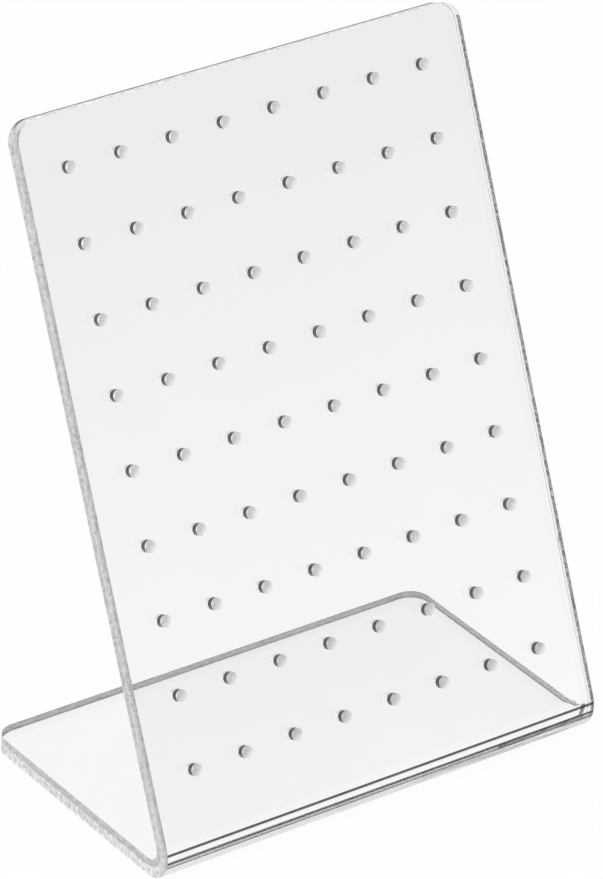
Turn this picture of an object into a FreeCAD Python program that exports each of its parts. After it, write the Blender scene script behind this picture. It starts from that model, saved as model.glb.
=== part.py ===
import FreeCAD, Part
import math
import os

import Sketcher

# Earring display stand: one clear acrylic sheet, cut, drilled and folded once with heat.
# Frame: origin at the middle of the footprint on the table, +Z up, display face towards -Y.
# Side view, looking along -X: the mould corner is where the flat outer faces would meet.

DIMENSIONS = [
    # alias, value in millimetres or degrees, meaning
    ("sheet_thickness", "5", "thickness of the acrylic sheet"),
    ("sheet_width", "140", "width of the sheet from side to side"),
    ("panel_length", "207", "display panel, from the mould corner to its top edge"),
    ("base_length", "88", "base, from the mould corner to its rear edge"),
    ("lean_angle", "22.5", "lean of the panel back from upright, in degrees"),
    ("bend_inner_radius", "4", "radius on the inside of the fold"),
    ("corner_radius", "6", "rounding of the four free corners of the sheet"),
    ("hole_diameter", "3.4", "earring hole"),
    ("column_pitch", "16", "hole spacing across the panel"),
    ("row_pitch", "20.2", "hole spacing up the panel"),
    ("side_margin", "14", "least distance from a side edge to the nearest column"),
    ("end_margin", "14.7", "top edge to the top row, and least distance from the fold to the lowest row"),
]

# Values worked out from the dimensions above.
DERIVED = [
    ("bend_outer_radius", "=bend_inner_radius + sheet_thickness", "radius on the outside of the fold"),
    ("fold_setback", "=bend_outer_radius / tan((90 - lean_angle) / 2)", "mould corner to the fold's end"),
    ("fold_front", "=fold_setback - bend_outer_radius", "mould corner to the foremost line of the fold"),
    ("column_count", "=floor((sheet_width - 2 * side_margin) / column_pitch + 0.001) + 1", "holes in a row"),
    (
        "row_count",
        "=floor((panel_length - fold_setback - 2 * end_margin) / row_pitch + 0.001) + 1",
        "rows of holes",
    ),
    ("first_column", "=(sheet_width - (column_count - 1) * column_pitch) / 2", "side edge to first column"),
]

TOLERANCE = 1e-4


def make_sheet(doc):
    """Spreadsheet with one row for each named size: alias, value, meaning."""
    sheet = doc.addObject("Spreadsheet::Sheet", "sizes")
    for row, (alias, value, meaning) in enumerate(DIMENSIONS + DERIVED, start=1):
        sheet.set("A%d" % row, alias)
        sheet.set("B%d" % row, value)
        sheet.set("C%d" % row, meaning)
        sheet.setAlias("B%d" % row, alias)
    doc.recompute()
    return sheet


def origin_plane(body, role):
    """The body's own origin plane with this role."""
    return next(f for f in body.Origin.OriginFeatures if f.Role == role)


def bind(sketch, name, constraint, expression):
    """Add a named constraint to a sketch and tie it to the sizes."""
    index = sketch.addConstraint(constraint)
    sketch.renameConstraint(index, name)
    sketch.setExpression("Constraints." + name, expression)


def profile_points(sheet):
    """Corners and tangent points of the folded section, as (back, up) from the mould corner."""
    lean = math.radians(sheet.lean_angle)
    thick = sheet.sheet_thickness
    along = (math.sin(lean), math.cos(lean))
    inward = (math.cos(lean), -math.sin(lean))

    def on_panel(distance, depth):
        return FreeCAD.Vector(
            along[0] * distance + inward[0] * depth, along[1] * distance + inward[1] * depth, 0
        )

    centre = FreeCAD.Vector(sheet.fold_setback, sheet.bend_outer_radius, 0)
    return {
        "centre": centre,
        "under_front": FreeCAD.Vector(sheet.fold_setback, 0, 0),
        "under_rear": FreeCAD.Vector(sheet.base_length, 0, 0),
        "top_rear": FreeCAD.Vector(sheet.base_length, thick, 0),
        "top_front": FreeCAD.Vector(sheet.fold_setback, thick, 0),
        "panel_back_low": on_panel(sheet.fold_setback, thick),
        "panel_back_high": on_panel(sheet.panel_length, thick),
        "panel_front_high": on_panel(sheet.panel_length, 0),
        "panel_front_low": on_panel(sheet.fold_setback, 0),
    }


def fold_arc(centre, radius, sheet):
    """Arc of the fold, from straight below its centre round the front to square with the panel."""
    circle = Part.Circle(centre, FreeCAD.Vector(0, 0, 1), radius)
    return Part.ArcOfCircle(circle, math.radians(180 - sheet.lean_angle), math.radians(270))


def draw_profile(body, sheet):
    """Section of the folded sheet: six straight lines and two arcs about one centre."""
    sketch = body.newObject("Sketcher::SketchObject", "folded_section")
    sketch.AttachmentSupport = (origin_plane(body, "YZ_Plane"), [""])
    sketch.MapMode = "FlatFace"
    at = profile_points(sheet)
    under, rear, top, panel_back, panel_top, panel_front = (
        sketch.addGeometry(Part.LineSegment(at[a], at[b]), False)
        for a, b in (
            ("under_front", "under_rear"),
            ("under_rear", "top_rear"),
            ("top_rear", "top_front"),
            ("panel_back_low", "panel_back_high"),
            ("panel_back_high", "panel_front_high"),
            ("panel_front_high", "panel_front_low"),
        )
    )
    inner = sketch.addGeometry(fold_arc(at["centre"], sheet.bend_inner_radius, sheet), False)
    outer = sketch.addGeometry(fold_arc(at["centre"], sheet.bend_outer_radius, sheet), False)

    start, end = 1, 2
    flat_axis, corner, corner_point = -1, -1, 1
    for kind, *where in (
        ("Coincident", under, end, rear, start),
        ("Coincident", rear, end, top, start),
        ("Coincident", panel_back, end, panel_top, start),
        ("Coincident", panel_top, end, panel_front, start),
        ("Tangent", inner, end, top, end),
        ("Tangent", inner, start, panel_back, start),
        ("Tangent", outer, end, under, start),
        ("Tangent", outer, start, panel_front, end),
        ("PointOnObject", under, end, flat_axis),
        ("PointOnObject", corner, corner_point, panel_front),
        ("Horizontal", under),
        ("Horizontal", top),
        ("Vertical", rear),
        ("Perpendicular", panel_top, panel_front),
        ("Parallel", panel_back, panel_front),
    ):
        sketch.addConstraint(Sketcher.Constraint(kind, *where))

    fold = math.radians(90 - sheet.lean_angle)
    for name, expression, kind, *where in (
        ("base_thickness", "sizes.sheet_thickness", "Distance", rear, sheet.sheet_thickness),
        ("panel_thickness", "sizes.sheet_thickness", "Distance", panel_top, sheet.sheet_thickness),
        ("inner_radius", "sizes.bend_inner_radius", "Radius", inner, sheet.bend_inner_radius),
        ("outer_radius", "sizes.bend_outer_radius", "Radius", outer, sheet.bend_outer_radius),
        ("fold_angle", "(90 - sizes.lean_angle) * 1 deg", "Angle", under, start, panel_front, end, fold),
        ("base_reach", "sizes.base_length", "DistanceX", corner, corner_point, under, end, sheet.base_length),
        (
            "panel_reach",
            "sizes.panel_length",
            "Distance",
            corner,
            corner_point,
            panel_front,
            start,
            sheet.panel_length,
        ),
    ):
        bind(sketch, name, Sketcher.Constraint(kind, *where), expression)
    return sketch


def free_corner_edges(shape, sheet):
    """The four edges through the sheet's thickness at the panel's top and at the base's rear."""
    at = profile_points(sheet)
    ends = [(at["under_rear"] + at["top_rear"]) / 2, (at["panel_back_high"] + at["panel_front_high"]) / 2]
    names = []
    for number, edge in enumerate(shape.Edges, start=1):
        middle = edge.CenterOfMass
        section_point = FreeCAD.Vector(middle.y, middle.z, 0)
        on_side = abs(abs(middle.x) - sheet.sheet_width / 2) < TOLERANCE
        if on_side and any(section_point.distanceToPoint(e) < TOLERANCE for e in ends):
            names.append("Edge%d" % number)
    return names


def front_face(shape, sheet):
    """Name of the display face: the flat face that looks forwards and up, square to the lean."""
    lean = math.radians(sheet.lean_angle)
    outward = FreeCAD.Vector(0, -math.cos(lean), math.sin(lean))
    for number, face in enumerate(shape.Faces, start=1):
        if isinstance(face.Surface, Part.Plane) and (face.normalAt(0, 0) - outward).Length < TOLERANCE:
            return "Face%d" % number
    raise RuntimeError("the display face was not found")


def straight_edge(shape, face_name, passes):
    """Name of the straight edge of a face whose middle passes a test."""
    for edge in shape.getElement(face_name).Edges:
        if isinstance(edge.Curve, Part.Line) and passes(edge.CenterOfMass):
            number = next(n for n, other in enumerate(shape.Edges, start=1) if other.isSame(edge))
            return "Edge%d" % number
    raise RuntimeError("an edge of the display face was not found")


def drill_first_hole(doc, body, blank, face, top_edge, side_edge, sheet):
    """Earring hole at the top left corner of the grid, square through the panel."""
    sketch = body.newObject("Sketcher::SketchObject", "first_hole")
    sketch.AttachmentSupport = (blank, [face])
    sketch.MapMode = "FlatFace"
    doc.recompute()
    sketch.addExternal(blank.Name, top_edge)
    sketch.addExternal(blank.Name, side_edge)
    # outside lines of a sketch are numbered downwards from -3, in the order they were added
    top_line, side_line = -3, -4

    lean = math.radians(sheet.lean_angle)
    height = sheet.panel_length - sheet.end_margin
    left = sheet.first_column - sheet.sheet_width / 2
    centre = FreeCAD.Vector(left, height * math.sin(lean), height * math.cos(lean))
    round_hole = Part.Circle(
        sketch.Placement.inverse().multVec(centre), FreeCAD.Vector(0, 0, 1), sheet.hole_diameter / 2
    )
    circle = sketch.addGeometry(round_hole, False)
    # a circle's middle is its position 3
    for name, expression, kind, *where in (
        ("hole_diameter", "sizes.hole_diameter", "Diameter", circle, sheet.hole_diameter),
        ("below_top_edge", "sizes.end_margin", "Distance", circle, 3, top_line, sheet.end_margin),
        ("in_from_side", "sizes.first_column", "Distance", circle, 3, side_line, sheet.first_column),
    ):
        bind(sketch, name, Sketcher.Constraint(kind, *where), expression)

    hole = body.newObject("PartDesign::Pocket", "earring_hole")
    hole.Profile = sketch
    hole.Type = "Length"
    hole.setExpression("Length", "sizes.sheet_thickness")
    doc.recompute()
    return hole


def drill_grid(doc, body, blank, sheet):
    """Earring holes: the first hole, then copies of it across and down the panel."""
    face = front_face(blank.Shape, sheet)
    high = profile_points(sheet)["panel_front_high"].y
    left = -sheet.sheet_width / 2
    top_edge = straight_edge(blank.Shape, face, lambda middle: abs(middle.z - high) < TOLERANCE)
    side_edge = straight_edge(blank.Shape, face, lambda middle: abs(middle.x - left) < TOLERANCE)
    hole = drill_first_hole(doc, body, blank, face, top_edge, side_edge, sheet)

    grid = body.newObject("PartDesign::LinearPattern", "earring_hole_grid")
    grid.Originals = [hole]
    grid.Direction = (blank, [top_edge])
    grid.Direction2 = (blank, [side_edge])
    grid.Mode = "Extent"
    grid.Mode2 = "Extent"
    grid.setExpression("Length", "(sizes.column_count - 1) * sizes.column_pitch")
    grid.setExpression("Length2", "(sizes.row_count - 1) * sizes.row_pitch")
    grid.setExpression("Occurrences", "sizes.column_count")
    grid.setExpression("Occurrences2", "sizes.row_count")
    body.Tip = grid
    return grid


def make_stand(doc, sheet):
    """The folded sheet: section carried across the width, free corners rounded, grid drilled."""
    body = doc.addObject("PartDesign::Body", "display_stand")
    body.Label = "display_stand"

    folded = body.newObject("PartDesign::Pad", "folded_sheet")
    folded.Profile = draw_profile(body, sheet)
    folded.SideType = "Symmetric"
    folded.setExpression("Length", "sizes.sheet_width")
    doc.recompute()

    rounded = body.newObject("PartDesign::Fillet", "rounded_corners")
    rounded.Base = (folded, free_corner_edges(folded.Shape, sheet))
    rounded.setExpression("Radius", "sizes.corner_radius")
    doc.recompute()

    grid = drill_grid(doc, body, rounded, sheet)
    # the fold's front line and the base's rear edge bound the footprint, whose middle is the origin
    body.setExpression(".Placement.Base.y", "-(sizes.fold_front + sizes.base_length) / 2")
    doc.recompute()
    return body, rounded, grid


def check_document(doc, body, blank, grid, sheet):
    """Stop if any object failed, the shape is unsound or the grid removed the wrong volume."""
    for item in doc.Objects:
        if "Invalid" in item.State or "Error" in item.State:
            raise RuntimeError("%s failed: %s" % (item.Name, item.State))
    shape = body.Shape
    if shape.isNull() or not shape.isValid() or len(shape.Solids) != 1:
        raise RuntimeError("the stand is not one sound solid")
    holes = int(round(sheet.column_count * sheet.row_count))
    expected = holes * math.pi * sheet.hole_diameter ** 2 / 4 * sheet.sheet_thickness
    drilled = blank.Shape.Volume - grid.Shape.Volume
    if abs(drilled - expected) > 0.01 * expected:
        raise RuntimeError("the hole grid removed %.1f instead of %.1f" % (drilled, expected))


def main():
    doc = FreeCAD.newDocument("earring_display_stand")
    sheet = make_sheet(doc)
    body, blank, grid = make_stand(doc, sheet)
    check_document(doc, body, blank, grid, sheet)
    os.makedirs("parts", exist_ok=True)
    body.Shape.exportStep(os.path.join("parts", body.Label + ".step"))
    box = body.Shape.BoundBox
    print("size %.2f x %.2f x %.2f mm" % (box.XLength, box.YLength, box.ZLength))
    print("volume %.2f cubic cm" % (body.Shape.Volume / 1000))
    print("holes %d x %d" % (sheet.column_count, sheet.row_count))


main()
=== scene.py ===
import math

import bpy
import numpy as np
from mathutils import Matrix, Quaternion, Vector


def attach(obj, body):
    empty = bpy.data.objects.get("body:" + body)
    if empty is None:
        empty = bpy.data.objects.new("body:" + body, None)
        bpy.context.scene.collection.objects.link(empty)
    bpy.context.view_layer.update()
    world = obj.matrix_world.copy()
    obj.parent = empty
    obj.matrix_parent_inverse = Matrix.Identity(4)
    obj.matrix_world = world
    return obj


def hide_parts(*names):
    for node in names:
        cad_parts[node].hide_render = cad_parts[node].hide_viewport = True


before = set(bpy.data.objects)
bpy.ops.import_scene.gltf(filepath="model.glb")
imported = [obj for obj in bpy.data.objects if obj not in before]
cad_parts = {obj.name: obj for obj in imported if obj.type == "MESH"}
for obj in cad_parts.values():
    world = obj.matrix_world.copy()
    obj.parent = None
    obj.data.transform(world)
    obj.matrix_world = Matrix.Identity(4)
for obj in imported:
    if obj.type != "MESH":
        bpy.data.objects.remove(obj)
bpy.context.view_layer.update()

MM = 0.001

# The folded sheet
THICKNESS = 5.0 * MM
WIDTH = 140.0 * MM
PANEL_LENGTH = 207.0 * MM  # mould corner to top edge, along the display face
BASE_LENGTH = 88.0 * MM  # mould corner to rear edge, along the underside
LEAN = math.radians(22.5)  # panel back from upright
FOLD_INNER_RADIUS = 4.0 * MM
CORNER_RADIUS = 6.0 * MM
EDGE_EASE = 0.22 * MM  # the cut edges are barely broken
HOLE_EASE = 0.06 * MM  # the holes hardly at all
MATT_DEPTH = 0.6 * THICKNESS  # the cutter leaves a wall matt to here and clean beyond

FOLD_OUTER_RADIUS = FOLD_INNER_RADIUS + THICKNESS
FOLD_MIDDLE_RADIUS = FOLD_INNER_RADIUS + THICKNESS / 2
FOLD_TURN = math.pi / 2 + LEAN
FOLD_SETBACK = FOLD_OUTER_RADIUS / math.tan((math.pi / 2 - LEAN) / 2)
FOOTPRINT_MIDDLE = (FOLD_SETBACK - FOLD_OUTER_RADIUS + BASE_LENGTH) / 2

# The same sheet before it was folded: run counts from the base's rear edge to the panel's top edge
BASE_RUN = BASE_LENGTH - FOLD_SETBACK
FOLD_RUN = FOLD_MIDDLE_RADIUS * FOLD_TURN
PANEL_RUN = PANEL_LENGTH - FOLD_SETBACK
BLANK_RUN = BASE_RUN + FOLD_RUN + PANEL_RUN

# The grid of earring holes
HOLE_RADIUS = 1.7 * MM
COLUMNS = 8
ROWS = 9
COLUMN_PITCH = 16.0 * MM
ROW_PITCH = 20.2 * MM
TOP_MARGIN = 14.7 * MM
HOLE_X = (np.arange(COLUMNS) - (COLUMNS - 1) / 2) * COLUMN_PITCH
HOLE_RUN = BLANK_RUN - TOP_MARGIN - np.arange(ROWS)[::-1] * ROW_PITCH

# Fineness of the mesh
PAD_HALF = 5.0 * MM  # half side of the square of sheet that is meshed round each hole
PAD_STEPS = 12  # steps along each side of that square
CORNER_STEPS = 20
FOLD_STEPS = 64
EASE_STEPS = 3

# Slots of the sheet's mesh, in the order of sheet_finishes
FACE, PANEL_EDGE, TOP_EDGE, BASE_EDGE, BORE, CLEAN_EDGE, CLEAN_BORE, BEND = range(8)
SIDE_UNTIL = 0.2  # a wall counts as the panel's top from where it faces this much up the panel
TOP_FADE_FROM = 0.6  # and takes on the top's tones between here and 1
NEXT_HOLE = 7  # shifts the marks from one row of holes to the next, so that no two are alike
BEND_FROM, BEND_TO = 0.15, 0.62  # shares of the turn between which the outer side is hazed

# Acrylic, and how strongly a polished and a cut surface of it mirror
ACRYLIC_IOR = 1.49
POLISHED_SHINE, CUT_SHINE = 0.5, 0.15

# Painted shade of the clear sheet, darker towards its top: its tone at the table and at the top edge
CLEAR_PAINTED_SHADE_LOW, CLEAR_PAINTED_SHADE_HIGH = 0.995, 0.87
PAINTED_SHADE_HEIGHT = 190.0 * MM
SMEAR_TONE = 0.985

# Painted dark lines along the fold's outer side, standing in for the bend's refraction, by the share of the
# whole turn
FOLD_PAINTED_DARK_LINES = (
    (0.620, 1.0),
    (0.630, 0.06),
    (0.645, 0.06),
    (0.660, 1.0),
    (0.695, 1.0),
    (0.706, 0.01),
    (0.734, 0.01),
    (0.745, 1.0),
    (0.838, 1.0),
    (0.852, 0.005),
    (0.888, 0.005),
    (0.902, 1.0),
)

# Tones of the cut walls across the thickness, from the outer side (0) to the inner side (1)
SIDE_OUTSIDE = ((0.0, 0.5), (0.2, 0.62), (0.5, 0.78), (0.85, 0.75), (1.0, 0.65))
# The top edge seen from outside: pale, with a painted dark band of shade on its inner part
TOP_OUTSIDE_PAINTED_BAND = ((0.0, 0.98), (0.55, 0.98), (0.64, 0.08), (1.0, 0.08))
# Painted shade: the base walls seen from within, dark at both sides and grey between
BASE_INSIDE_PAINTED_SHADE = ((0.0, 0.02), (0.1, 0.02), (0.2, 0.5), (0.8, 0.5), (0.9, 0.02), (1.0, 0.02))
BASE_OUTSIDE = 1.0
# Painted shade: the panel walls and holes seen from within, near black with pale specks
PANEL_INSIDE_PAINTED_SHADE, PANEL_INSIDE_SPECKS = 0.003, 1.0
# Painted pale tone of a wall seen from within
LET_OUT_PAINTED_PALE = 0.95  # a wall seen from within, where the light leaves through it
EDGE_DARKEST = 0.55
BORE_DARKEST = 0.9
CLEAN_EDGE_TONES = (0.38, 0.72)
CLEAN_BORE_TONES = (0.94, 1.0)
WITHIN_TONE = 0.96  # darkest tone of what stays clear from within

# Roughness where the grain is darkest and where it is palest
FACE_ROUGHNESS = (0.012, 0.0)
EDGE_ROUGHNESS = (0.45, 0.25)
CLEAN_ROUGHNESS = (0.35, 0.15)
HAZE_ROUGHNESS = (0.3, 0.1)
WITHIN_ROUGHNESS = 0.05

# Share of light that goes through each wall
PANEL_EDGE_CLEAR = 0.05
BASE_EDGE_CLEAR = 0.36
BORE_CLEAR = 0.03
BEND_CLEAR = 0.15
CLEAN_WALL_CLEAR = 0.15

# Grain of the cut walls: weight of the fine grain, marks across the wall, and the step to Mottle
FINE_GRAIN = 0.6
MARK_STRETCH = (1600.0, 1.5, 1.0)
MOTTLE_FROM, MOTTLE_TO = 0.75, 1.25

# Grey streaks of the bend's haze: how they are drawn out, and where across the sheet they set in
STREAK_STRETCH = (60.0, 900.0, 900.0)
STREAK_TILT = 0.06
STREAK_TONES = ((0.44, 1.0), (0.6, 0.4))
STREAKS_FROM, STREAKS_FULL = -40.0 * MM, 60.0 * MM
HAZE_DARKEST = 0.97

# The floor and the studio: white near the horizon, a touch darker above
FLOOR_SIZE = 8.0
FLOOR_GAP = 0.05 * MM
FLOOR_TONE = 0.9
FLOOR_WHITE = 0.95  # share of plain white in what the camera, glass and gloss see of the floor
SKY_WHITE_UNTIL, SKY_TONE_FROM = 0.10, 0.22  # sines of the elevation
SKY_TONE = 0.95

# The one lamp, in metres and watts
LAMP_PLACE = (-0.9, -0.6, 1.4)
LAMP_AIM = (0, 0, 0.08)
LAMP_SIZE = 0.9
LAMP_POWER = 10

# The camera, fitted to the holes and edges of the photograph
IMAGE_HEIGHT = 879  # pixels
FOCAL_PIXELS = 6372.39
SENSOR = 36.0  # millimetres, on the image's long side
CAMERA_PLACE = (-861.55 * MM, -1180.16 * MM, 921.26 * MM)
CAMERA_AZIMUTH = math.radians(-36.114)
CAMERA_ELEVATION = math.radians(29.528)
CAMERA_ROLL = math.radians(1.767)
NEAREST, FARTHEST = 0.05, 50.0

LIGHT_BOUNCES = 32  # enough for light to get through the sheet, its holes and its fold


def fold_blank(x, run, depth):
    """Place of points of the flat blank on the folded sheet.

    The blank lies flat up to the fold, turns about one centre line through the fold, and goes on
    straight up the panel. turn is how far round the fold a point is. The point lies at the outer
    radius less its depth from the centre line, in the direction turned, and then its straight
    run before or after the fold is added along the sheet.
    """
    turn = fold_turn(run)
    straight = np.minimum(run - BASE_RUN, 0) + np.maximum(run - BASE_RUN - FOLD_RUN, 0)
    radius = FOLD_OUTER_RADIUS - depth
    y = FOLD_SETBACK - FOOTPRINT_MIDDLE - radius * np.sin(turn) - straight * np.cos(turn)
    z = FOLD_OUTER_RADIUS - radius * np.cos(turn) + straight * np.sin(turn)
    return np.stack([x + 0 * y, y, z], axis=-1)


def fold_turn(run):
    """Angle round the fold at a run: none on the base, the whole fold's on the panel."""
    return np.clip((run - BASE_RUN) / FOLD_MIDDLE_RADIUS, 0, FOLD_TURN)


def outward(run):
    """Direction out of the sheet's outer side (underside and display face) at a run."""
    turn = fold_turn(run)
    return np.stack([0 * turn, -np.sin(turn), -np.cos(turn)], axis=-1)


def along_blank(out_x, out_run, run):
    """Direction on the folded sheet of a direction (out_x, out_run) on the blank."""
    turn = fold_turn(run)
    return np.stack([out_x, -out_run * np.cos(turn), out_run * np.sin(turn)], axis=-1)


class Surface:
    """Points, their outward directions, and quads with a slot each, gathered patch by patch."""

    def __init__(self):
        self.points, self.normals, self.quads, self.slots = [], [], [], []
        self.cuts, self.walls = [], []
        self.count = 0

    def add(self, points, normals, quads, slot, cut=None, wall=None):
        """Add a patch. cut is the place along the cut and the share of the thickness, wall
        what part of the sheet a wall belongs to. Flat sides may leave them out."""
        self.points.append(points.reshape(-1, 3))
        self.normals.append(normals.reshape(-1, 3))
        for kept, given in ((self.cuts, cut), (self.walls, wall)):
            kept.append(np.zeros((points.size // 3, 3)) if given is None else given.reshape(-1, 3))
        self.quads.append(quads.reshape(-1, 4) + self.count)
        self.slots.append(np.broadcast_to(slot, quads.shape[:-1]).ravel())
        self.count += points.size // 3

    def make(self, name):
        """Object with the patches joined wherever their points are the same place."""
        points = np.concatenate(self.points)
        normals = np.concatenate(self.normals)
        _, first, same = np.unique(
            np.round(points / (0.001 * MM)).astype(np.int64), axis=0, return_index=True, return_inverse=True
        )
        mesh = bpy.data.meshes.new(name)
        mesh.from_pydata(points[first], [], same.ravel()[np.concatenate(self.quads)], shade_flat=False)
        mesh.polygons.foreach_set("material_index", np.concatenate(self.slots).astype(np.int32))
        mesh.normals_split_custom_set_from_vertices(normals[first])
        for attribute, kept in (("cut", self.cuts), ("wall", self.walls)):
            layer = mesh.attributes.new(attribute, "FLOAT_VECTOR", "POINT")
            values = last_given(np.concatenate(kept), same.ravel(), first.size)
            layer.data.foreach_set("vector", values.ravel())
        mesh.update()
        thing = bpy.data.objects.new(name, mesh)
        bpy.context.scene.collection.objects.link(thing)
        return thing


def last_given(values, same, count):
    """One row of values for each joined point: the last patch's that uses the point, a wall's if any."""
    joined = np.zeros((count, values.shape[1]), dtype=np.float32)
    joined[same] = values
    return joined


def grid_quads(rows, columns, closed=False):
    """Quads (i, j), (i, j+1), (i+1, j+1), (i+1, j) of a grid of points. A closed grid joins its ends."""
    i = np.arange(rows if closed else rows - 1)[:, None]
    j = np.arange(columns - 1)[None, :]
    here, there = i * columns + j, (i + 1) % rows * columns + j
    return np.stack([here, here + 1, there + 1, there], axis=-1)


def blank_rows():
    """Runs of the grid's rows and the half width of the sheet's flat face at each.

    Through a rounded corner the rows follow equal steps of its arc, so the half width is the
    arc's centre plus its radius times the cosine, and the run the centre plus radius times sine.
    """
    arc = np.linspace(0, math.pi / 2, CORNER_STEPS + 1)
    face_radius = CORNER_RADIUS - EDGE_EASE
    arc_run = CORNER_RADIUS - face_radius * np.sin(arc)
    arc_half = WIDTH / 2 - CORNER_RADIUS + face_radius * np.cos(arc)
    pads = [np.linspace(run - PAD_HALF, run + PAD_HALF, PAD_STEPS + 1) for run in HOLE_RUN]
    middle = np.concatenate([np.linspace(BASE_RUN, BASE_RUN + FOLD_RUN, FOLD_STEPS + 1)] + pads)
    run = np.concatenate([arc_run[::-1], middle, BLANK_RUN - arc_run])
    half = np.concatenate([arc_half[::-1], np.full(middle.size, WIDTH / 2 - EDGE_EASE), arc_half])
    return run, half


def sheet_faces(surface):
    """Both flat sides of the sheet: a grid over the blank, with a square left open round each hole."""
    run, half = blank_rows()
    inner_x = np.concatenate([np.linspace(x - PAD_HALF, x + PAD_HALF, PAD_STEPS + 1) for x in HOLE_X])
    x = np.concatenate([-half[:, None], np.tile(inner_x, (run.size, 1)), half[:, None]], axis=1)
    runs = np.repeat(run[:, None], x.shape[1], axis=1)
    quads = grid_quads(*x.shape)
    middle_x = (x[0, 1:] + x[0, :-1]) / 2
    middle_run = (run[1:] + run[:-1]) / 2
    in_column = (np.abs(middle_x[:, None] - HOLE_X[None, :]) < PAD_HALF).any(1)
    in_row = (np.abs(middle_run[:, None] - HOLE_RUN[None, :]) < PAD_HALF).any(1)
    kept = ~(in_row[:, None] & in_column[None, :])
    turned = fold_turn(middle_run) / FOLD_TURN
    hazed = (turned > BEND_FROM) & (turned < BEND_TO)
    for depth, side in ((0, 1), (THICKNESS, -1)):
        slots = np.where(hazed[:, None] & kept & (side > 0), BEND, FACE)[kept]
        points, normals = fold_blank(x, runs, depth), side * outward(runs)
        surface.add(points, normals, quads[kept][:, ::side], slots, *face_marks(runs, depth))
    return x, runs


def face_marks(run, depth):
    """Cut and wall attributes of a flat side: the share of its depth, and of the fold's turn."""
    none = 0 * run
    cut = np.stack([none, none + depth / THICKNESS, none], axis=-1)
    return cut, np.stack([none, none, fold_turn(run) / FOLD_TURN], axis=-1)


def hole_pads(surface):
    """Sheet round every hole: each point of a square's border is joined to one of the hole's rim."""
    step = np.linspace(-1, 1, PAD_STEPS, endpoint=False)
    one = np.ones(PAD_STEPS)
    border = np.concatenate(
        [np.stack(side, -1) for side in ((step, -one), (one, step), (-step, one), (-one, -step))]
    )
    angle = np.linspace(0, 2 * math.pi, 4 * PAD_STEPS, endpoint=False) - 3 * math.pi / 4
    rim = np.stack([np.cos(angle), np.sin(angle)], -1)
    quads = grid_quads(4 * PAD_STEPS, 2, closed=True)
    for hole_run in HOLE_RUN:
        for hole_x in HOLE_X:
            ring = np.stack([border * PAD_HALF, rim * (HOLE_RADIUS + HOLE_EASE)], axis=1)
            x, run = hole_x + ring[..., 0], hole_run + ring[..., 1]
            for depth, side in ((0, 1), (THICKNESS, -1)):
                points, normals = fold_blank(x, run, depth), side * outward(run)
                surface.add(points, normals, quads[..., ::-side], FACE, *face_marks(run, depth))
            cut = (x[::-1, 1], run[::-1, 1], -rim[::-1, 0], -rim[::-1, 1])
            slot = np.full(rim.shape[0], BORE)
            edge_band(surface, *cut, slot, HOLE_EASE, hole_x + hole_run * NEXT_HOLE)


def edge_band(surface, x, run, out_x, out_run, slot, ease, cut_start=0.0):
    """Wall through the sheet along a closed cut, swept from one face to the other.

    The cut is given on the flat face, with its direction out of the sheet. The profile turns a
    quarter round from the outer face to the wall and another from the wall to the inner face:
    at slope s it is out by ease times sine s, and deep by ease times one less cosine s. Past its
    matt depth a side wall or a hole is clean. The cut attribute runs along the cut in metres and
    across it as a share of the thickness. The wall attribute says how far the wall belongs to
    the base, how far it faces up the panel, and its share of the fold's turn.
    """
    slope = np.linspace(0, math.pi / 2, EASE_STEPS + 1)
    sine = np.concatenate([np.sin(slope), [1.0], np.sin(slope)[::-1]])
    lift = np.concatenate([np.cos(slope), [0.0], -np.cos(slope)[::-1]])
    ease_depth = ease * (1 - np.cos(slope))
    depth = np.concatenate([ease_depth, [MATT_DEPTH], THICKNESS - ease_depth[::-1]])
    x_out = x[:, None] + ease * sine * out_x[:, None]
    run_out = run[:, None] + ease * sine * out_run[:, None]
    points = fold_blank(x_out, run_out, depth)
    sideways = along_blank(out_x, out_run, run)[:, None, :]
    normals = sine[:, None] * sideways + lift[:, None] * outward(run)[:, None, :]
    step = np.hypot(np.diff(x, append=x[0]), np.diff(run, append=run[0]))
    along = cut_start + np.cumsum(step) + 0 * depth[:, None]
    cut = np.stack([along.T, (depth / THICKNESS) + 0 * x[:, None], 0 * along.T], axis=-1)
    based = 1 - fold_turn(run) / FOLD_TURN
    # Share of the top edge's tones, which carry its painted dark band
    painted_top_band_share = np.clip((out_run - TOP_FADE_FROM) / (1 - TOP_FADE_FROM), 0, 1) * (slot == TOP_EDGE)
    wall = np.stack([based, painted_top_band_share, 1 - based], axis=-1)
    wall = np.repeat(wall[:, None, :], depth.size, axis=1)
    deep = depth[:-1] >= MATT_DEPTH
    clean = np.select([slot == BORE, slot == PANEL_EDGE], [CLEAN_BORE, CLEAN_EDGE], slot)
    slots = np.where(deep, clean[:, None], slot[:, None])
    surface.add(points, normals, grid_quads(x.size, depth.size, closed=True), slots, cut, wall)


def outline_band(surface, x, run):
    """The sheet's outer wall: round the border of the face grid, right side up and left side down."""
    border_x = np.concatenate([x[0, :-1], x[:-1, -1], x[-1, :0:-1], x[:0:-1, 0]])
    border_run = np.concatenate([run[0, :-1], run[:-1, -1], run[-1, :0:-1], run[:0:-1, 0]])
    centre_x = np.clip(border_x, CORNER_RADIUS - WIDTH / 2, WIDTH / 2 - CORNER_RADIUS)
    centre_run = np.clip(border_run, CORNER_RADIUS, BLANK_RUN - CORNER_RADIUS)
    out = np.stack([border_x - centre_x, border_run - centre_run])
    out = out / np.linalg.norm(out, axis=0)
    slot = np.where(out[1] > SIDE_UNTIL, TOP_EDGE, PANEL_EDGE)
    slot = np.where(border_run < BASE_RUN, BASE_EDGE, slot)
    edge_band(surface, border_x, border_run, out[0], out[1], slot, EDGE_EASE)


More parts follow.
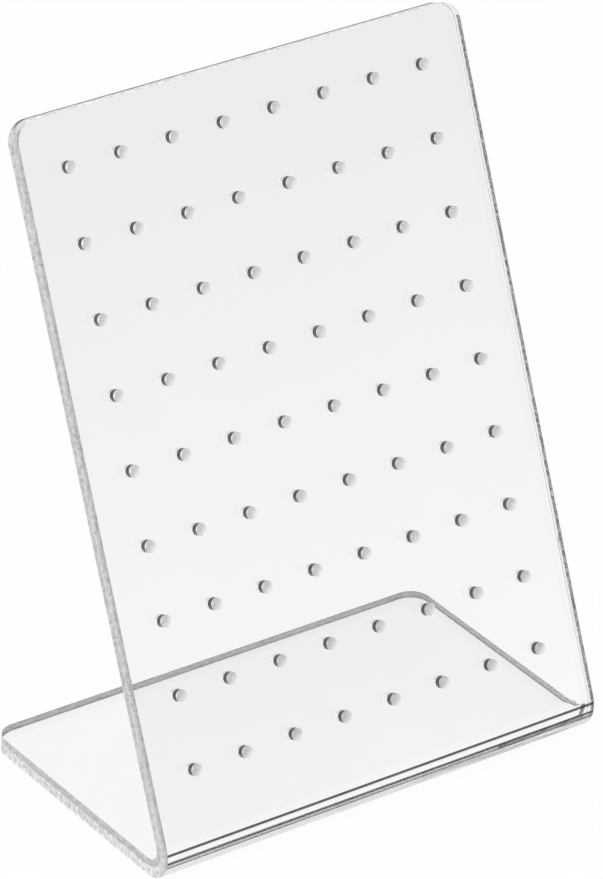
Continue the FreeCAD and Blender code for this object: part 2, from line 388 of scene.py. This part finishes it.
def make_sheet():
    """The folded, drilled acrylic sheet as one closed surface."""
    surface = Surface()
    x, run = sheet_faces(surface)
    hole_pads(surface)
    outline_band(surface, x, run)
    return surface.make("acrylic_sheet")


def shader_tree(name):
    """New material with an empty node tree."""
    material = bpy.data.materials.new(name)
    material.use_nodes = True
    material.node_tree.nodes.clear()
    return material, material.node_tree


def give(tree, socket, value):
    """Join a socket to another one, or set it to a number."""
    if isinstance(value, bpy.types.NodeSocket):
        tree.links.new(value, socket)
    else:
        socket.default_value = value


def place(tree, kind, settings=None, **inputs):
    """New node with its settings, and each named input set to a number or joined to a socket."""
    node = tree.nodes.new(kind)
    for name, value in (settings or {}).items():
        setattr(node, name, value)
    for name, value in inputs.items():
        give(tree, node.inputs[name.replace("_", " ")], value)
    return node


def calc(tree, operation, *values):
    """Result of a sum on numbers or sockets, taken in their order."""
    node = place(tree, "ShaderNodeMath", {"operation": operation})
    for socket, value in zip(node.inputs, values):
        give(tree, socket, value)
    return node.outputs[0]


def span(tree, value, start=0.0, end=1.0, low=0.0, high=1.0, smooth=False):
    """From low to high as the value goes from start to end, in a straight line or a smooth step."""
    kind = "SMOOTHSTEP" if smooth else "LINEAR"
    ends = {"From_Min": start, "From_Max": end, "To_Min": low, "To_Max": high}
    node = place(tree, "ShaderNodeMapRange", {"interpolation_type": kind}, Value=value, **ends)
    return node.outputs["Result"]


def ramp(tree, value, stops):
    """Grey tone for a value between 0 and 1, with a stop (place, tone) for each bend."""
    node = place(tree, "ShaderNodeValToRGB", Fac=value)
    bar = node.color_ramp.elements
    for index, (where, tone) in enumerate(stops):
        stop = bar[index] if index < 2 else bar.new(where)
        stop.position = where
        stop.color = (tone, tone, tone, 1)
    return node.outputs["Color"]


def blend(tree, factor, first, second, mode="MIX"):
    """Colour from first to second, each a socket or a grey tone."""
    node = place(tree, "ShaderNodeMix", {"data_type": "RGBA", "blend_type": mode})
    give(tree, node.inputs[0], factor)
    for index, tone in ((6, first), (7, second)):
        plain = not isinstance(tone, bpy.types.NodeSocket)
        give(tree, node.inputs[index], (tone, tone, tone, 1) if plain else tone)
    return node.outputs[2]


def noise(tree, vector, scale, detail):
    """Noise between 0 and 1."""
    node = place(tree, "ShaderNodeTexNoise", Vector=vector, Scale=scale, Detail=detail)
    return node.outputs["Fac"]


def own_place(tree):
    """Place on the object, in its own coordinates."""
    return tree.nodes.new("ShaderNodeTexCoord").outputs["Object"]


def part_of(tree, vector, axis):
    """One of a vector's three parts."""
    return place(tree, "ShaderNodeSeparateXYZ", Vector=vector).outputs[axis]


def mark(tree, attribute, axis):
    """One part of the sheet's cut or wall attribute."""
    node = place(tree, "ShaderNodeAttribute", {"attribute_name": attribute})
    return part_of(tree, node.outputs["Vector"], axis)


def from_within(tree):
    """1 for a ray that meets the surface from within the sheet, and 0 for one from outside."""
    return tree.nodes.new("ShaderNodeNewGeometry").outputs["Backfacing"]


def mixed(tree, share, first, second):
    """Shader from first to second."""
    node = tree.nodes.new("ShaderNodeMixShader")
    for socket, value in zip(node.inputs, (share, first, second)):
        give(tree, socket, value)
    return node.outputs["Shader"]


def grain_group():
    """Grain of a cut wall: soft blotches, fine grain and marks that cross the wall.

    Height is the three noises added up, the fine grain and the marks by their weights. Mottle is a
    smooth step of that sum, between 0 and 1.
    """
    group = bpy.data.node_groups.new("cut_grain", "ShaderNodeTree")
    group.interface.new_socket("Place", in_out="INPUT", socket_type="NodeSocketVector")
    for name in ("Blotch Scale", "Grain Scale", "Marks"):
        group.interface.new_socket(name, in_out="INPUT", socket_type="NodeSocketFloat")
    for name in ("Mottle", "Height"):
        group.interface.new_socket(name, in_out="OUTPUT", socket_type="NodeSocketFloat")
    given = group.nodes.new("NodeGroupInput").outputs
    blotch = noise(group, given["Place"], given["Blotch Scale"], detail=3.0)
    fine = noise(group, given["Place"], given["Grain Scale"], detail=2.0)
    along_cut = place(group, "ShaderNodeAttribute", {"attribute_name": "cut"}).outputs["Vector"]
    drawn = place(group, "ShaderNodeMapping", Vector=along_cut, Scale=MARK_STRETCH)
    marks = noise(group, drawn.outputs["Vector"], 1.0, detail=2.0)
    both = calc(group, "MULTIPLY_ADD", fine, FINE_GRAIN, blotch)
    height = calc(group, "MULTIPLY_ADD", marks, given["Marks"], both)
    mottle = span(group, height, MOTTLE_FROM, MOTTLE_TO, smooth=True)
    place(group, "NodeGroupOutput", Mottle=mottle, Height=height)
    return group


def grain(tree, group, blotch_scale, grain_scale, marks):
    """The grain group placed in a material, on the object's own coordinates: mottle and height."""
    node = tree.nodes.new("ShaderNodeGroup")
    node.node_tree = group
    give(tree, node.inputs["Place"], own_place(tree))
    for name, value in (("Blotch Scale", blotch_scale), ("Grain Scale", grain_scale), ("Marks", marks)):
        node.inputs[name].default_value = value
    return node.outputs["Mottle"], node.outputs["Height"]


def rough_from(tree, mottle, roughness):
    """Roughness that follows the mottle, from its darkest to its palest."""
    return span(tree, mottle, low=roughness[0], high=roughness[1])


def bump(tree, height, distance, strength):
    """Normal of a relief of the given height."""
    node = place(tree, "ShaderNodeBump", Height=height, Distance=distance, Strength=strength)
    return node.outputs["Normal"]


def acrylic(tree, colour, roughness, normal, clear=1.0):
    """Acrylic's own shader. clear is the share of light that goes through the surface."""
    shader = place(
        tree,
        "ShaderNodeBsdfPrincipled",
        Base_Color=colour,
        Metallic=0.0,
        Roughness=roughness,
        IOR=ACRYLIC_IOR,
        Transmission_Weight=clear,
        Specular_IOR_Level=POLISHED_SHINE if clear == 1.0 else CUT_SHINE,
        Normal=normal,
    )
    return shader.outputs["BSDF"]


def clear_within(tree, mottle, roughness, normal):
    """Shader of a surface that stays clear for the rays within the sheet."""
    return acrylic(tree, blend(tree, mottle, WITHIN_TONE, 1.0), roughness, normal)


def finish_with(tree, outside, within=None):
    """Join a shader to the material's output, with another one for the rays within the sheet if given."""
    shader = outside if within is None else mixed(tree, from_within(tree), outside, within)
    place(tree, "ShaderNodeOutputMaterial", Surface=shader)


def with_painted_shade_within(tree, outside, inside):
    """Tone of a wall from outside, and painted shade on it from within the sheet where it can't let light
    out.

    A ray within the sheet that meets the wall steeply leaves it, and the wall is painted pale. One
    that meets it at a slant is held in by a polished wall, and lost at a cut one, and there the
    wall is painted in the inside tone as shade.
    """
    # Painted shade by the slant of a ray from within
    held = place(tree, "ShaderNodeFresnel", IOR=ACRYLIC_IOR).outputs["Fac"]
    within = blend(tree, held, LET_OUT_PAINTED_PALE, inside)
    return blend(tree, from_within(tree), outside, within)


def polished_face(group):
    """Polished faces: clear, painted a little darker towards the top as shade, with painted dark lines along
    the bend.

    The lines show on the outer side only, and only from outside.
    """
    material, tree = shader_tree("polished_face")
    mottle, height = grain(tree, group, blotch_scale=9.0, grain_scale=60.0, marks=0.0)
    # Painted shade: the sheet's colour darkens with height
    rise = span(tree, part_of(tree, own_place(tree), "Z"), end=PAINTED_SHADE_HEIGHT)
    clear = blend(tree, rise, CLEAR_PAINTED_SHADE_LOW, CLEAR_PAINTED_SHADE_HIGH)
    colour = blend(tree, 1.0, clear, blend(tree, mottle, SMEAR_TONE, 1.0), "MULTIPLY")
    # Painted dark lines of the bend's refraction, on the outer side and from outside only
    hidden = calc(tree, "MAXIMUM", mark(tree, "cut", "Y"), from_within(tree))
    lines = blend(tree, hidden, ramp(tree, mark(tree, "wall", "Z"), FOLD_PAINTED_DARK_LINES), 1.0)
    colour = blend(tree, 1.0, colour, lines, "MULTIPLY")
    normal = bump(tree, height, 0.01 * MM, 0.2)
    finish_with(tree, acrylic(tree, colour, rough_from(tree, mottle, FACE_ROUGHNESS), normal))
    return material


def cut_edge(group, name, clear, clean_within=False):
    """Cut edges of the sheet: half matt, pale from outside with a painted dark band on the top edge, and
    painted shade where seen through the sheet.
    """
    material, tree = shader_tree(name)
    mottle, height = grain(tree, group, blotch_scale=800.0, grain_scale=2400.0, marks=0.5)
    depth = mark(tree, "cut", "Y")
    based = mark(tree, "wall", "X")
    side = blend(tree, based, ramp(tree, depth, SIDE_OUTSIDE), BASE_OUTSIDE)
    # The top edge takes its tones with the painted dark band
    outside = blend(tree, mark(tree, "wall", "Y"), side, ramp(tree, depth, TOP_OUTSIDE_PAINTED_BAND))
    # Painted shade of the walls seen from within: near black on the panel, banded on the base
    panel = blend(tree, mottle, PANEL_INSIDE_PAINTED_SHADE, PANEL_INSIDE_SPECKS)
    inside = blend(tree, based, panel, ramp(tree, depth, BASE_INSIDE_PAINTED_SHADE))
    light = blend(tree, mottle, EDGE_DARKEST, 1.0)
    colour = blend(tree, 1.0, with_painted_shade_within(tree, outside, inside), light, "MULTIPLY")
    normal = bump(tree, height, 0.08 * MM, 0.5)
    within = clear_within(tree, mottle, WITHIN_ROUGHNESS, normal) if clean_within else None
    finish_with(tree, acrylic(tree, colour, rough_from(tree, mottle, EDGE_ROUGHNESS), normal, clear), within)
    return material


def hole_wall(group):
    """Drilled walls of the holes: pale inside the hole, with painted shade where seen through the sheet."""
    material, tree = shader_tree("hole_wall")
    mottle, height = grain(tree, group, blotch_scale=700.0, grain_scale=2400.0, marks=0.2)
    # Painted shade: a hole's wall seen through the sheet is near black
    tone = with_painted_shade_within(tree, 1.0, PANEL_INSIDE_PAINTED_SHADE)
    colour = blend(tree, 1.0, tone, blend(tree, mottle, BORE_DARKEST, 1.0), "MULTIPLY")
    normal = bump(tree, height, 0.05 * MM, 0.4)
    finish_with(tree, acrylic(tree, colour, rough_from(tree, mottle, CLEAN_ROUGHNESS), normal, BORE_CLEAR))
    return material


def clean_wall(group, name, tones):
    """The part of a wall that the cutter left clear: pale from outside, and clear from within."""
    material, tree = shader_tree(name)
    mottle, height = grain(tree, group, blotch_scale=800.0, grain_scale=2400.0, marks=0.5)
    normal = bump(tree, height, 0.05 * MM, 0.4)
    colour = blend(tree, mottle, *tones)
    pale = acrylic(tree, colour, rough_from(tree, mottle, CLEAN_ROUGHNESS), normal, CLEAN_WALL_CLEAR)
    finish_with(tree, pale, clear_within(tree, mottle, WITHIN_ROUGHNESS, normal))
    return material


def bend_haze(group):
    """The bend's outer side: made a hazy white, with grey streaks along the fold.

    The streaks set in across the sheet, towards its right side.
    """
    material, tree = shader_tree("bend_haze")
    mottle, height = grain(tree, group, blotch_scale=200.0, grain_scale=900.0, marks=0.0)
    where = own_place(tree)
    turned = {"Rotation": (0.0, STREAK_TILT, 0.0), "Scale": STREAK_STRETCH}
    drawn = place(tree, "ShaderNodeMapping", Vector=where, **turned)
    streaks = ramp(tree, noise(tree, drawn.outputs["Vector"], 1.0, detail=3.0), STREAK_TONES)
    rightward = span(tree, part_of(tree, where, "X"), STREAKS_FROM, STREAKS_FULL, smooth=True)
    colour = blend(tree, rightward, 1.0, streaks)
    colour = blend(tree, 1.0, colour, blend(tree, mottle, HAZE_DARKEST, 1.0), "MULTIPLY")
    normal = bump(tree, height, 0.02 * MM, 0.3)
    cloudy = acrylic(tree, colour, rough_from(tree, mottle, HAZE_ROUGHNESS), normal, BEND_CLEAR)
    finish_with(tree, cloudy, clear_within(tree, mottle, 0.0, normal))
    return material


def sheet_finishes(group):
    """The sheet's materials, in the order of its slots."""
    return (
        polished_face(group),
        cut_edge(group, "panel_edge", PANEL_EDGE_CLEAR),
        cut_edge(group, "top_edge", PANEL_EDGE_CLEAR, clean_within=True),
        cut_edge(group, "base_edge", BASE_EDGE_CLEAR),
        hole_wall(group),
        clean_wall(group, "clean_edge", CLEAN_EDGE_TONES),
        clean_wall(group, "clean_hole", CLEAN_BORE_TONES),
        bend_haze(group),
    )


def white_floor():
    """Wide pale floor that reads white wherever the object's shadow doesn't fall."""
    bpy.ops.mesh.primitive_plane_add(size=FLOOR_SIZE, location=(0, 0, -FLOOR_GAP))
    floor = bpy.context.object
    floor.name = "floor"
    material, tree = shader_tree("studio_floor")
    plain = place(tree, "ShaderNodeBsdfDiffuse", Color=(FLOOR_TONE, FLOOR_TONE, FLOOR_TONE, 1))
    glow = place(tree, "ShaderNodeEmission", Strength=1.0)
    path = tree.nodes.new("ShaderNodeLightPath").outputs
    seen = calc(tree, "MAXIMUM", path["Is Camera Ray"], path["Is Glossy Ray"])
    seen = calc(tree, "MAXIMUM", seen, path["Is Transmission Ray"])
    share = calc(tree, "MULTIPLY", seen, FLOOR_WHITE)
    finish_with(tree, mixed(tree, share, plain.outputs["BSDF"], glow.outputs["Emission"]))
    floor.data.materials.append(material)


def studio_world():
    """White backdrop to the camera. To the object, white near the horizon and a touch darker above."""
    world = bpy.data.worlds.new("studio")
    bpy.context.scene.world = world
    world.use_nodes = True
    tree = world.node_tree
    tree.nodes.clear()
    rise = part_of(tree, tree.nodes.new("ShaderNodeTexCoord").outputs["Generated"], "Z")
    tone = span(tree, rise, SKY_WHITE_UNTIL, SKY_TONE_FROM, 1.0, SKY_TONE, smooth=True)
    to_camera = tree.nodes.new("ShaderNodeLightPath").outputs["Is Camera Ray"]
    shade = place(tree, "ShaderNodeMix", {"data_type": "FLOAT"}, Factor=to_camera, A=tone, B=1.0)
    background = place(tree, "ShaderNodeBackground", Strength=shade.outputs["Result"])
    place(tree, "ShaderNodeOutputWorld", Surface=background.outputs["Background"])


def soft_lamp():
    """Square soft lamp, turned to the middle of the stand."""
    lamp = bpy.data.lights.new("key", "AREA")
    lamp.size = LAMP_SIZE
    lamp.energy = LAMP_POWER
    thing = bpy.data.objects.new("key", lamp)
    bpy.context.scene.collection.objects.link(thing)
    thing.location = LAMP_PLACE
    thing.rotation_euler = (Vector(LAMP_AIM) - Vector(LAMP_PLACE)).to_track_quat("-Z", "Y").to_euler()


def photo_camera():
    """Camera at the photograph's own place and angle, turned by its roll about the line of sight."""
    camera = bpy.data.objects.new("camera", bpy.data.cameras.new("camera"))
    bpy.context.scene.collection.objects.link(camera)
    camera.location = CAMERA_PLACE
    level = math.cos(CAMERA_ELEVATION)
    sideways, ahead = math.sin(CAMERA_AZIMUTH) * level, -math.cos(CAMERA_AZIMUTH) * level
    back = Vector((sideways, ahead, math.sin(CAMERA_ELEVATION)))
    upright = (-back).to_track_quat("-Z", "Y")
    camera.rotation_euler = (upright @ Quaternion((0, 0, 1), CAMERA_ROLL)).to_euler()
    camera.data.sensor_width = SENSOR
    camera.data.lens = FOCAL_PIXELS / IMAGE_HEIGHT * SENSOR
    camera.data.clip_start, camera.data.clip_end = NEAREST, FARTHEST
    bpy.context.scene.camera = camera


sheet = make_sheet()
for finish in sheet_finishes(grain_group()):
    sheet.data.materials.append(finish)
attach(sheet, "root")
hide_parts("display_stand")

white_floor()
studio_world()
soft_lamp()
photo_camera()

scene = bpy.context.scene
scene.view_settings.view_transform = "Standard"
scene.cycles.max_bounces = LIGHT_BOUNCES
scene.cycles.glossy_bounces = LIGHT_BOUNCES
scene.cycles.transmission_bounces = LIGHT_BOUNCES
